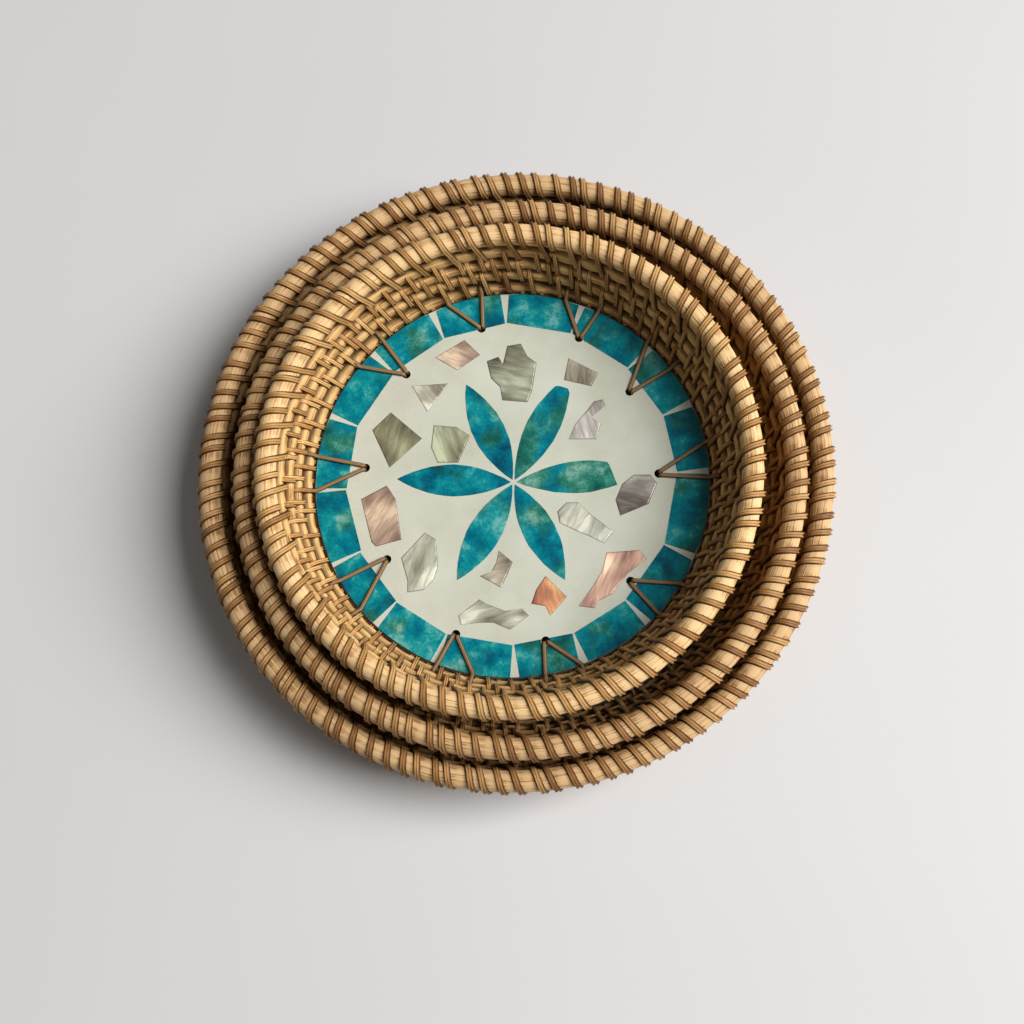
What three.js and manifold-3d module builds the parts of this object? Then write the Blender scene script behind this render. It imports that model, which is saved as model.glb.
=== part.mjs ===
// A nest of three round coiled cane trays, small in medium in large.
// Each wall is a stack of cane hoops with a peel bound rim. Each base is a thin
// board faced with resin and shell, laced to the wall through drilled holes.
import * as THREE from "three";
import { mergeVertices } from "three/addons/utils/BufferGeometryUtils.js";
import Module from "manifold-3d";

const wasm = await Module();
wasm.setup();

// Sizes are in millimetres and angles in degrees.
const LARGE_DIAMETER = 270;
const NEST_DIFFERENCE = 30;
const RIM_CANE = 9.2;
const ROW_CANE = 6.6;
const FOOT_CANE = 5.4;
const LACING = 1.4;
const PEEL_WIDTH = 2;
const PEEL_THICKNESS = 0.8;
const PEEL_CLEARANCE = 0.6;
const CLEARANCE = 0.3;
const WALL_LEAN = 19.5;
const FOOT_LEAN = 32;
const BOARD_THICKNESS = 1.6;
const FACE_THICKNESS = 0.8;
const GLUE_LINE = 0.1;
const INLAY_RISE = 0.2;
const INLAY_ROOT = 0.4;
const WALL_ROWS = 4;

// The lacing's holes are drilled by eye, two strands to a hole, and some break into
// the border tiles. Each of the small tray's has its angle and its way in from the edge.
const HOLE_INSET = 20;
const LANE_GAP = 0.5;
const LEG_BEFORE = 2;
const LEG_AFTER = 8.5;
const SMALL_HOLES = [
  [2.2, 22.4], [37.3, 21.2], [65.2, 15.3], [101, 15.6], [133.9, 19],
  [174.6, 22.4], [213.1, 22.8], [251.1, 15.4], [282.2, 14.8], [319, 18.5],
];
const MEDIUM_HOLES = 12;
const LARGE_HOLES = 14;

// The shell border is a ring of straight-sided tiles with resin joints between.
const TILE_LENGTH = 14.4;
const TILE_EDGE = 0.6;
const TILE_JOINT_INNER = 1.2;
const TILE_JOINT_OUTER = 4.6;
const SMALL_JOINTS = [
  2.3, 23.3, 44.4, 68.4, 92.1, 115, 136.6, 159.8, 182.8, 205.7, 227.5, 248.2, 271.2, 291.9, 313, 336.5,
];
const MEDIUM_JOINTS = 18;
const LARGE_JOINTS = 21;

// The flower is six pointed petals cut and laid by eye, a little off the middle:
// the turn of each, and its reach as a share of the board's radius.
const PETALS = [[7.5, 0.52], [62, 0.56], [115.5, 0.57], [178, 0.59], [240.8, 0.57], [297.3, 0.56]];
const PETAL_WIDTH = 14;
const PETAL_START = 3;
const FLOWER_X = 1.2;
const FLOWER_Y = -0.9;

// Loose shell chips between flower and border: place across the field inside the
// border, where 1 is the field's edge, then length, width and turn.
const SMALL_CHIPS = [
  [-0.33, 0.79, 16.6, 10.5, 35],
  [0, 0.68, 26, 20, 85],
  [0.43, 0.67, 14, 10, 165],
  [-0.49, 0.53, 16, 12, 5],
  [-0.72, 0.27, 19.5, 17, 45],
  [-0.37, 0.23, 16, 15, 85],
  [0.47, 0.37, 21, 11, 70],
  [0.76, -0.1, 16, 13, 20],
  [0.45, -0.29, 20, 9, 140],
  [-0.77, -0.21, 24, 14.5, 105],
  [-0.54, -0.5, 25, 16, 95],
  [-0.07, -0.55, 13.5, 10.5, 55],
  [0.56, -0.57, 28, 10, 45],
  [0.22, -0.71, 13, 12.5, 55],
  [-0.09, -0.81, 28, 12, 175],
];

// Where the two inner trays sit, a little off the large tray's middle.
const MEDIUM_X = 2.3;
const MEDIUM_Y = -2.6;
const SMALL_X = -1.5;
const SMALL_Y = -2.3;

// Facets of the round pieces.
const RING_STEPS = 28;
const ROW_SIDES = 6;
const ROUND_SIDES = 8;
const STRAND_SIDES = 4;
const HOLE_SIDES = 6;
const BINDING_TURNS = 24;

const CANE = { color: 0xc8a677, roughness: 0.62, metalness: 0 };
const RIM = { color: 0xbb9563, roughness: 0.55, metalness: 0 };
const PEEL = { color: 0x8f6238, roughness: 0.42, metalness: 0 };
const CORD = { color: 0x7a5d33, roughness: 0.6, metalness: 0 };
const BOARD = { color: 0x1d1916, roughness: 0.5, metalness: 0 };
const RESIN = { color: 0xe2d9c3, roughness: 0.24, metalness: 0 };
const TEAL = { color: 0x1f6f78, roughness: 0.22, metalness: 0 };

const TAU = Math.PI * 2;
const FACET = TAU / RING_STEPS;
const rad = (degrees) => (degrees * Math.PI) / 180;
const spread = (count) => Array.from({ length: count }, (_, i) => (360 * i) / count);

// The radius of a faceted ring at an angle, straight between its corners.
function faceted(radius, angle) {
  const turn = angle - Math.floor(angle / FACET) * FACET;
  return (radius * Math.cos(FACET / 2)) / Math.cos(turn - FACET / 2);
}

function onRing(radius, angle, z) {
  const r = faceted(radius, angle);
  return new THREE.Vector3(r * Math.cos(angle), r * Math.sin(angle), z);
}

// One cane hoop: a round section swept about the tray's axis.
function hoop(radius, height, cane, sides) {
  const profile = [];
  const start = sides === ROUND_SIDES ? Math.PI / sides : 0;
  for (let i = 0; i <= sides; i++) {
    const a = start + (TAU * (i % sides)) / sides;
    profile.push(
      new THREE.Vector2(radius + (cane / 2) * Math.cos(a), height + (cane / 2) * Math.sin(a))
    );
  }
  return new THREE.LatheGeometry(profile, RING_STEPS).rotateX(Math.PI / 2);
}

// A run of equal sections skinned into one closed strand.
function skin(rings) {
  const sides = rings[0].length;
  const positions = rings.flat().flatMap((p) => [p.x, p.y, p.z]);
  const index = [];
  for (let i = 0; i + 1 < rings.length; i++) {
    for (let k = 0; k < sides; k++) {
      const a = i * sides + k;
      const b = i * sides + ((k + 1) % sides);
      index.push(a, b, b + sides, a, b + sides, a + sides);
    }
  }
  const last = (rings.length - 1) * sides;
  for (let k = 1; k + 1 < sides; k++) {
    index.push(0, k + 1, k, last, last + k, last + k + 1);
  }
  const geometry = new THREE.BufferGeometry();
  geometry.setAttribute("position", new THREE.Float32BufferAttribute(positions, 3));
  geometry.setIndex(index);
  return geometry;
}

// A round strand along straight runs, its bends mitred.
function strand(points, diameter) {
  const first = points[1].clone().sub(points[0]).normalize();
  const side = new THREE.Vector3(0, 0, 1).cross(first).normalize();
  const top = first.clone().cross(side);
  let ring = [];
  for (let k = 0; k < STRAND_SIDES; k++) {
    const a = (TAU * (k + 0.5)) / STRAND_SIDES;
    const corner = points[0].clone().addScaledVector(side, (diameter / 2) * Math.cos(a));
    ring.push(corner.addScaledVector(top, (diameter / 2) * Math.sin(a)));
  }
  const rings = [ring];
  for (let i = 1; i < points.length; i++) {
    const into = points[i].clone().sub(points[i - 1]).normalize();
    const next = points[Math.min(i + 1, points.length - 1)];
    const out = i + 1 < points.length ? next.clone().sub(points[i]).normalize() : into;
    const plane = into.clone().add(out).normalize();
    ring = ring.map((p) => {
      const run = plane.dot(points[i].clone().sub(p)) / plane.dot(into);
      return p.clone().addScaledVector(into, run);
    });
    rings.push(ring);
  }
  return skin(rings);
}

// Least gap between stretches of one strand that are not neighbours along it.
function leastGap(points, width, apart) {
  const samples = [];
  let along = 0;
  for (let i = 0; i + 1 < points.length; i++) {
    const length = points[i].distanceTo(points[i + 1]);
    const steps = Math.max(1, Math.ceil(length / 0.8));
    for (let k = 0; k < steps; k++) {
      const p = points[i].clone().lerp(points[i + 1], k / steps);
      samples.push([p.x, p.y, p.z, along + (length * k) / steps]);
    }
    along += length;
  }
  let least = Infinity;
  for (let i = 0; i < samples.length; i++) {
    const p = samples[i];
    for (let k = i + 1; k < samples.length; k++) {
      const q = samples[k];
      if (q[3] - p[3] > apart) {
        least = Math.min(least, Math.hypot(p[0] - q[0], p[1] - q[1], p[2] - q[2]));
      }
    }
  }
  return least - width;
}

// Where each hoop of a tray lies, worked down from the rim.
function layout(diameter) {
  const lean = rad(WALL_LEAN);
  const down = (from, distance, angle) => ({
    r: from.r - distance * Math.sin(angle),
    z: from.z - distance * Math.cos(angle),
  });
  const rim = { r: (diameter - RIM_CANE) / 2, z: 0 };
  const bound = PEEL_CLEARANCE + PEEL_THICKNESS + CLEARANCE;
  const rows = [down(rim, (RIM_CANE + ROW_CANE) / 2 + bound, lean)];
  while (rows.length < WALL_ROWS) {
    const slit = rows.length === WALL_ROWS - 1 ? LACING + 2 * CLEARANCE : CLEARANCE;
    rows.push(down(rows[rows.length - 1], ROW_CANE + slit, lean));
  }
  rows.reverse();
  const foot = down(rows[0], (FOOT_CANE + ROW_CANE) / 2 + CLEARANCE, rad(FOOT_LEAN));
  const flat = (FOOT_CANE / 2) * Math.cos(Math.PI / ROUND_SIDES);
  const lift = flat - foot.z;
  for (const hoopAt of [rim, foot, ...rows]) {
    hoopAt.z += lift;
  }
  const boardRadius = rows[0].r - ROW_CANE / 2 - CLEARANCE;
  const boardZ = 2 * flat + CLEARANCE;
  const faceZ = boardZ + BOARD_THICKNESS + GLUE_LINE;
  const topZ = faceZ + FACE_THICKNESS + INLAY_RISE;
  const legZ = topZ + CLEARANCE + LACING / 2;
  return { rim, rows, foot, boardRadius, boardZ, faceZ, topZ, legZ };
}

const holeRadius = LACING + LANE_GAP / 2 + CLEARANCE;

function regular(x, y, radius, sides, turn) {
  const points = [];
  for (let i = 0; i < sides; i++) {
    const a = turn + (TAU * i) / sides;
    points.push(new THREE.Vector2(x + radius * Math.cos(a), y + radius * Math.sin(a)));
  }
  return points;
}

function holePoints(tray, [angle, inset]) {
  const r = tray.boardRadius - inset;
  const a = rad(angle);
  const reach = holeRadius / Math.cos(Math.PI / HOLE_SIDES);
  const start = a + Math.PI / HOLE_SIDES;
  return regular(r * Math.cos(a), r * Math.sin(a), reach, HOLE_SIDES, start);
}

function plate(shape, z, depth) {
  const settings = { depth, bevelEnabled: false, curveSegments: 1 };
  return new THREE.ExtrudeGeometry(shape, settings).translate(0, 0, z);
}

const polar = (r, angle) => new THREE.Vector2(r * Math.cos(angle), r * Math.sin(angle));
const onEdge = (r, angle) => polar(faceted(r, angle), angle);

// One border tile between two joints, with an edge of resin round the outside.
function tileShape(tray, from, to) {
  const inner = tray.boardRadius - TILE_LENGTH;
  const outer = tray.boardRadius - TILE_EDGE;
  const half = (r) => Math.asin((r === inner ? TILE_JOINT_INNER : TILE_JOINT_OUTER) / 2 / r);
  const middle = (from + to) / 2;
  return new THREE.Shape([
    polar(inner, from + half(inner)),
    onEdge(outer, from + half(outer)),
    onEdge(outer, middle),
    onEdge(outer, to - half(outer)),
    polar(inner, to - half(inner)),
  ]);
}

// The resin face's outline where tiles are let in: a spoke of resin at each joint.
function spokedShape(tray, joints) {
  const inner = tray.boardRadius - TILE_LENGTH - CLEARANCE * 1.2;
  const outer = tray.boardRadius;
  const joint = (r) => (r === inner ? TILE_JOINT_INNER : TILE_JOINT_OUTER);
  const half = (r) => Math.asin((joint(r) / 2 - CLEARANCE) / r);
  const points = [];
  for (const angle of joints) {
    const a = rad(angle);
    points.push(polar(inner, a - half(inner)), onEdge(outer, a - half(outer)));
    points.push(onEdge(outer, a + half(outer)), polar(inner, a + half(inner)));
  }
  return new THREE.Shape(points);
}

// One pointed petal, grown by an edge all round for its seat.
function petalPoints(tray, [degrees, reach], grown) {
  const size = tray.boardRadius * reach;
  const from = PETAL_START - grown * 2;
  const to = size + grown * 2;
  const wide = PETAL_WIDTH / 2 + grown;
  const turn = rad(degrees);
  const place = (along, across) => {
    const x = along * Math.cos(turn) - across * Math.sin(turn) + FLOWER_X;
    const y = along * Math.sin(turn) + across * Math.cos(turn) + FLOWER_Y;
    return new THREE.Vector2(x, y);
  };
  const bulge = [0.25, 0.5, 0.75];
  const width = (t) => wide * 4 * t * (1 - t);
  const out = bulge.map((t) => place(from + (to - from) * t, -width(t)));
  const back = bulge.map((t) => place(to - (to - from) * t, width(t)));
  return [place(from, 0), ...out, place(to, 0), ...back];
}

// One broken chip of shell: an uneven five-cornered piece.
function chipShape(tray, [across, up, length, width, turn]) {
  const field = tray.boardRadius - TILE_LENGTH;
  const x = across * field;
  const y = up * field;
  const corners = [[-0.5, -0.32], [0.12, -0.5], [0.5, -0.1], [0.28, 0.5], [-0.4, 0.36]];
  const c = Math.cos(rad(turn));
  const s = Math.sin(rad(turn));
  return new THREE.Shape(
    corners.map(([u, v]) => {
      const a = u * length;
      const b = v * width;
      return new THREE.Vector2(x + a * c - b * s, y + a * s + b * c);
    })
  );
}

function toManifold(geometry) {
  const bare = new THREE.BufferGeometry();
  bare.setAttribute("position", geometry.getAttribute("position"));
  bare.setIndex(geometry.getIndex());
  const merged = mergeVertices(bare, 1e-4);
  const vertProperties = new Float32Array(merged.getAttribute("position").array);
  const triVerts = new Uint32Array(merged.getIndex().array);
  return new wasm.Manifold(new wasm.Mesh({ numProp: 3, vertProperties, triVerts }));
}

function fromManifold(solid) {
  const mesh = solid.getMesh();
  const geometry = new THREE.BufferGeometry();
  const positions = new THREE.Float32BufferAttribute(mesh.vertProperties, 3);
  geometry.setAttribute("position", positions);
  geometry.setIndex(new THREE.Uint32BufferAttribute(mesh.triVerts, 1));
  return geometry;
}

// The lacing's holes drilled through a board, a face or a tile.
function drilled(geometry, tray, holes) {
  let solid = toManifold(geometry);
  for (const hole of holes) {
    const bit = new THREE.Shape(holePoints(tray, hole));
    const depth = tray.legZ - tray.foot.z;
    solid = solid.subtract(toManifold(plate(bit, tray.foot.z, depth)));
  }
  return fromManifold(solid);
}

// Shell pieces standing a little proud of a resin face.
function raise(face, tray, shapes) {
  const z = tray.faceZ + FACE_THICKNESS - INLAY_ROOT;
  let solid = toManifold(face);
  for (const shape of shapes) {
    solid = solid.add(toManifold(plate(shape, z, INLAY_ROOT + INLAY_RISE)));
  }
  return fromManifold(solid);
}

// The rim's peel: one flat strip wound round and round the rim cane.
function bindingRings(tray) {
  const steps = BINDING_TURNS * ROUND_SIDES;
  const inner = RIM_CANE / 2 + PEEL_CLEARANCE;
  const outer = inner + PEEL_THICKNESS;
  const half = PEEL_WIDTH / 2 / tray.rim.r;
  const rings = [];
  for (let i = 0; i <= steps; i++) {
    const along = (TAU * (i / steps) * (BINDING_TURNS - 0.4)) / BINDING_TURNS;
    const round = (TAU * (i + 2.5)) / ROUND_SIDES;
    const corner = (turn, reach) => {
      const z = tray.rim.z + reach * Math.sin(round);
      return onRing(tray.rim.r + reach * Math.cos(round), along + turn, z);
    };
    const under = [corner(half, inner), corner(-half, inner)];
    rings.push([...under, corner(-half, outer), corner(half, outer)]);
  }
  const straight = (end, before) => {
    const way = end[0].clone().sub(before[0]).setLength(PEEL_WIDTH);
    return end.map((p) => p.clone().add(way));
  };
  const first = straight(rings[0], rings[1]);
  const last = straight(rings[steps], rings[steps - 1]);
  return [first, ...rings, last];
}

// The lacing's way: up a hole, out over the base, round the lowest row into the
// slit above it, back down the same hole and on below the board to the next.
function lacingPoints(tray, holes) {
  const row = tray.rows[0];
  const slitReach = ROW_CANE / 2 + CLEARANCE + LACING / 2;
  const clear = slitReach * 1.12;
  const lean = rad(90 - WALL_LEAN);
  const low = tray.boardZ - CLEARANCE - LACING / 2;
  const lane = (LACING + LANE_GAP) / 2;
  const drop = tray.legZ - row.z;
  const inSlit = (a) =>
    onRing(row.r + slitReach * Math.cos(lean), a, row.z + slitReach * Math.sin(lean));
  const shoulder = lean + Math.PI / 4;
  const overRow = (a) =>
    onRing(row.r + clear * Math.cos(shoulder), a, row.z + clear * Math.sin(shoulder));
  const byRow = (a) => onRing(row.r - Math.sqrt(clear * clear - drop * drop), a, tray.legZ);
  const inHole = (at, a, offset, z) => {
    const x = at * Math.cos(a) - offset * Math.sin(a);
    const y = at * Math.sin(a) + offset * Math.cos(a);
    return new THREE.Vector3(x, y, z);
  };
  const points = [];
  for (const [angle, inset] of holes) {
    const a = rad(angle);
    const at = tray.boardRadius - inset;
    const from = a - rad(LEG_BEFORE);
    const to = a + rad(LEG_AFTER);
    points.push(inHole(at, a, -lane, low), inHole(at, a, -lane, tray.legZ));
    points.push(byRow(from), overRow(from), inSlit(from));
    for (let k = Math.ceil(from / FACET); k * FACET < to; k++) {
      points.push(inSlit(k * FACET));
    }
    points.push(inSlit(to), overRow(to), byRow(to));
    points.push(inHole(at, a, lane, tray.legZ), inHole(at, a, lane, low));
  }
  const tail = points[0].clone().sub(points[points.length - 1]);
  const reach = tail.length() / 2 - LACING * 2;
  const start = points[0].clone().addScaledVector(tail.clone().normalize(), -reach);
  const end = points[points.length - 1].clone().addScaledVector(tail.normalize(), reach);
  return [start, ...points, end];
}

const nest = new THREE.Group();
nest.name = "nested_trays";

function piece(group, name, geometry, look) {
  const mesh = new THREE.Mesh(geometry, new THREE.MeshStandardMaterial(look));
  mesh.name = name;
  group.add(mesh);
}

// One whole tray, assembled from the foot up.
function buildTray(prefix, diameter, holes, joints, letIn, chips) {
  const group = new THREE.Group();
  group.name = prefix + "tray";
  const tray = layout(diameter);
  const { rim, rows, foot } = tray;
  piece(group, prefix + "foot_coil", hoop(foot.r, foot.z, FOOT_CANE, ROUND_SIDES), CANE);

  const disc = regular(0, 0, tray.boardRadius, RING_STEPS, 0);
  const board = plate(new THREE.Shape(disc), tray.boardZ, BOARD_THICKNESS);
  piece(group, prefix + "base_board", drilled(board, tray, holes), BOARD);

  const tiles = joints.map((joint, i) => {
    const next = i + 1 < joints.length ? joints[i + 1] : joints[0] + 360;
    return tileShape(tray, rad(joint), rad(next));
  });
  const petals = PETALS.map((petal) => petalPoints(tray, petal, 0));
  const chipShapes = chips.map((chip) => chipShape(tray, chip));
  const faceShape = letIn ? spokedShape(tray, joints) : new THREE.Shape(disc);
  if (letIn) {
    PETALS.forEach((petal) => {
      faceShape.holes.push(new THREE.Path(petalPoints(tray, petal, CLEARANCE)));
    });
  }
  const relief = letIn ? [] : [...tiles, ...petals.map((points) => new THREE.Shape(points))];
  const face = drilled(plate(faceShape, tray.faceZ, FACE_THICKNESS), tray, holes);
  piece(group, prefix + "resin_face", raise(face, tray, [...relief, ...chipShapes]), RESIN);
  if (letIn) {
    const thick = FACE_THICKNESS + INLAY_RISE;
    petals.forEach((points, i) => {
      const petal = plate(new THREE.Shape(points), tray.faceZ, thick);
      piece(group, prefix + "petal_" + (i + 1), petal, TEAL);
    });
    tiles.forEach((shape, i) => {
      const tile = drilled(plate(shape, tray.faceZ, thick), tray, holes);
      piece(group, prefix + "border_tile_" + (i + 1), tile, TEAL);
    });
  }

  rows.forEach((row, i) => {
    const name = prefix + "wall_row_" + (i + 1);
    piece(group, name, hoop(row.r, row.z, ROW_CANE, ROW_SIDES), CANE);
  });
  const lace = lacingPoints(tray, holes);
  const laceGap = leastGap(lace, LACING, LACING * 4);
  console.error(prefix + "base_lacing least gap " + laceGap.toFixed(2) + " mm");
  piece(group, prefix + "base_lacing", strand(lace, LACING), CORD);

  piece(group, prefix + "rim_cane", hoop(rim.r, rim.z, RIM_CANE, ROUND_SIDES), RIM);
  const wound = bindingRings(tray);
  const line = wound.map((ring) => ring[0].clone().add(ring[2]).multiplyScalar(0.5));
  const windGap = leastGap(line, PEEL_WIDTH, RIM_CANE * 2);
  console.error(prefix + "rim_binding least gap " + windGap.toFixed(2) + " mm");
  piece(group, prefix + "rim_binding", skin(wound), PEEL);
  nest.add(group);
  return { group, step: tray.legZ + LACING / 2 + CLEARANCE };
}

// Each smaller tray stands on the lacing of the one below it.
const mediumDiameter = LARGE_DIAMETER - NEST_DIFFERENCE;
const smallDiameter = mediumDiameter - NEST_DIFFERENCE;
const ringOfHoles = (count) => spread(count).map((angle) => [angle, HOLE_INSET]);
const large = buildTray(
  "large_", LARGE_DIAMETER, ringOfHoles(LARGE_HOLES), spread(LARGE_JOINTS), false, []
);
const medium = buildTray(
  "medium_", mediumDiameter, ringOfHoles(MEDIUM_HOLES), spread(MEDIUM_JOINTS), false, []
);
const small = buildTray("small_", smallDiameter, SMALL_HOLES, SMALL_JOINTS, true, SMALL_CHIPS);
medium.group.position.set(MEDIUM_X, MEDIUM_Y, large.step);
small.group.position.set(SMALL_X, SMALL_Y, large.step + medium.step);

export default nest;
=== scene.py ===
import math
import random

import bmesh
import bpy
from mathutils import Matrix, Vector


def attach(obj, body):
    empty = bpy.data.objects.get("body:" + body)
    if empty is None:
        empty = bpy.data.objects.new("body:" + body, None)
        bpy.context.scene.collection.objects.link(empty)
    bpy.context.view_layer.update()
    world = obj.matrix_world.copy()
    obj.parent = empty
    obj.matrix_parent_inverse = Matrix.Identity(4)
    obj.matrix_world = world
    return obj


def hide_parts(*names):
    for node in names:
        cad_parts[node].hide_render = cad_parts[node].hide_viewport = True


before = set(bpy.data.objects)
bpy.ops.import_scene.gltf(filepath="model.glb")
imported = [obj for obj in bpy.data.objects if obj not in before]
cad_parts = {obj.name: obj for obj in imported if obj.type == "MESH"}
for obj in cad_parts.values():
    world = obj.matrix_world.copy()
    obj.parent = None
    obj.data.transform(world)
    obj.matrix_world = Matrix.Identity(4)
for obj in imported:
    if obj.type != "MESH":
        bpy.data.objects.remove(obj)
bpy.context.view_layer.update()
scene = bpy.context.scene
scene.view_settings.view_transform = "Standard"

# Table, window light and viewpoint.
# The nest lies on a plain pale table, seen from nearly straight above.
# One broad window to the right lights it and leaves the right inner walls in shade.
FILM_WIDTH = 36
PICTURE_WIDTH = 1024
FOCAL_PIXELS = 1400
AIM = (-0.0011, -0.0158, 0.025)
VIEW_DISTANCE = 0.605
VIEW_ELEVATION, VIEW_TURN = 77.2, 14.63
WINDOW_PLACE = (2.7, 0.1, 2.85)
WINDOW_SIZE = (2.0, 2.9)
WINDOW_WATTS = 225
ROOM_GLOW = 0.088
TABLE_SIDE = 6
PALE_WALL = (0.66, 0.655, 0.645, 1)


def viewpoint_at(aim, distance, elevation, azimuth, roll):
    el, az, ro = (math.radians(a) for a in (elevation, azimuth, roll))
    back = Vector((math.sin(az) * math.cos(el), -math.cos(az) * math.cos(el), math.sin(el)))
    right = Vector((math.cos(az), math.sin(az), 0))
    up = back.cross(right)
    across = right * math.cos(ro) + up * math.sin(ro)
    upward = up * math.cos(ro) - right * math.sin(ro)
    turn = Matrix((across, upward, back)).transposed().to_4x4()
    return Matrix.Translation(Vector(aim) + back * distance) @ turn


lens = bpy.data.cameras.new("viewpoint")
lens.sensor_width = FILM_WIDTH
lens.lens = FILM_WIDTH * FOCAL_PIXELS / PICTURE_WIDTH
lens.clip_start = 0.01
viewpoint = bpy.data.objects.new("viewpoint", lens)
viewpoint.matrix_world = viewpoint_at(AIM, VIEW_DISTANCE, VIEW_ELEVATION, VIEW_TURN, -VIEW_TURN)
scene.collection.objects.link(viewpoint)
scene.camera = viewpoint


def finish_of(name):
    finish = bpy.data.materials.new(name)
    finish.use_nodes = True
    tree = finish.node_tree
    return finish, tree, tree.nodes["Principled BSDF"]


def feed(tree, node, **inputs):
    """Link or set a node's inputs, named with _ for a space, or numbered as i0, i1 and so on."""
    for key, value in inputs.items():
        numbered = key[0] == "i" and key[1:].isdigit()
        spot = node.inputs[int(key[1:]) if numbered else key.replace("_", " ")]
        if isinstance(value, bpy.types.NodeSocket):
            tree.links.new(value, spot)
        else:
            spot.default_value = value
    return node


def put(tree, kind, settings=None, **inputs):
    node = tree.nodes.new(kind)
    for key, value in (settings or {}).items():
        setattr(node, key, value)
    return feed(tree, node, **inputs)


def sums(tree, operation, first, second=0.0, third=0.0):
    node = put(tree, "ShaderNodeMath", {"operation": operation}, i0=first, i1=second, i2=third)
    return node.outputs[0]


def times(tree, first, second):
    return sums(tree, "MULTIPLY", first, second)


def noise(tree, place, scale, detail, **more):
    return put(tree, "ShaderNodeTexNoise", Vector=place, Scale=scale, Detail=detail, **more).outputs["Fac"]


def ranged(tree, value, way="LINEAR", **ends):
    return put(tree, "ShaderNodeMapRange", {"interpolation_type": way}, Value=value, **ends).outputs[0]


def shades(tree, amount, stops):
    ramp = put(tree, "ShaderNodeValToRGB", Fac=amount)
    band = ramp.color_ramp
    while len(band.elements) < len(stops):
        band.elements.new(0.5)
    for element, (place, colour) in zip(band.elements, stops):
        element.position = place
        element.color = (*colour, 1)
    return ramp.outputs["Color"]


def object_place(tree):
    return put(tree, "ShaderNodeTexCoord").outputs["Object"]


def rays_to_backdrop(tree):
    rays = put(tree, "ShaderNodeLightPath").outputs
    direct = sums(tree, "MAXIMUM", rays["Is Camera Ray"], rays["Is Glossy Ray"])
    return sums(tree, "MAXIMUM", direct, rays["Is Transmission Ray"])


def blended(tree, amount, first, second, end):
    blend = put(tree, "ShaderNodeMixShader", i0=amount, i1=first.outputs[0], i2=second.outputs[0])
    feed(tree, tree.nodes[end], Surface=blend.outputs[0])


table_finish, tree, shader = finish_of("pale_table")
place = object_place(tree)
cloud = noise(tree, place, 2.0, 3.0)
colour = shades(tree, cloud, [(0.3, (0.66, 0.66, 0.67)), (0.7, (0.7, 0.695, 0.7))])
feed(tree, shader, Base_Color=colour, Roughness=0.55)
off = put(tree, "ShaderNodeVectorMath", {"operation": "LENGTH"}, i0=place).outputs["Value"]
fade = ranged(tree, off, "SMOOTHSTEP", From_Min=0.4, From_Max=1.4)
haze = put(tree, "ShaderNodeEmission", Color=PALE_WALL)
blended(tree, times(tree, fade, rays_to_backdrop(tree)), shader, haze, "Material Output")
bpy.ops.mesh.primitive_plane_add(size=TABLE_SIDE)
table = bpy.context.object
table.name = "table_top"
table.data.materials.append(table_finish)

light = bpy.data.lights.new("side_window", "AREA")
light.shape = "RECTANGLE"
light.size, light.size_y = WINDOW_SIZE
light.energy = WINDOW_WATTS
light.color = (1.0, 0.985, 0.965)
lamp = bpy.data.objects.new("side_window", light)
lamp.location = WINDOW_PLACE
towards = Vector((0, 0, 0.03)) - Vector(WINDOW_PLACE)
lamp.rotation_euler = towards.to_track_quat("-Z", "Y").to_euler()
scene.collection.objects.link(lamp)

sky = bpy.data.worlds.new("room_light")
scene.world = sky
sky.use_nodes = True
tree = sky.node_tree
glow = feed(tree, tree.nodes["Background"], Color=(1.0, 0.985, 0.955, 1), Strength=ROOM_GLOW)
wall = put(tree, "ShaderNodeBackground", Color=PALE_WALL)
blended(tree, rays_to_backdrop(tree), glow, wall, "World Output")

# Foot coils.
# Each tray stands on a hoop of thin core cane under its lowest wall row.
# It is bare cane, grained lengthwise and pressed flat where it stands, with shade painted on its flanks.
# It is paler on the small tray; the others' darker cane is partly a browner tone and partly painted shade.
RIM_CANE, ROW_CANE, FOOT_CANE = 0.0092, 0.0066, 0.0054
LACING, CLEARANCE = 0.0014, 0.0003
BINDING_ROOM = 0.0017
FOOT_FLATTENED = math.cos(math.pi / 8)
WALL_LEAN, FOOT_LEAN = math.radians(19.5), math.radians(32)
BOARD_STEP, FACE_STEP = 0.0017, 0.001
EVEN_HOLE_INSET = 0.02
SMALL_HOLES = [
    (2.2, 0.0224), (37.3, 0.0212), (65.2, 0.0153), (101, 0.0156), (133.9, 0.019),
    (174.6, 0.0224), (213.1, 0.0228), (251.1, 0.0154), (282.2, 0.0148), (319, 0.0185),
]
SMALL_JOINTS = [
    2.3, 23.3, 44.4, 68.4, 92.1, 115, 136.6, 159.8, 182.8, 205.7, 227.5, 248.2, 271.2, 291.9, 313, 336.5,
]


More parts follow.
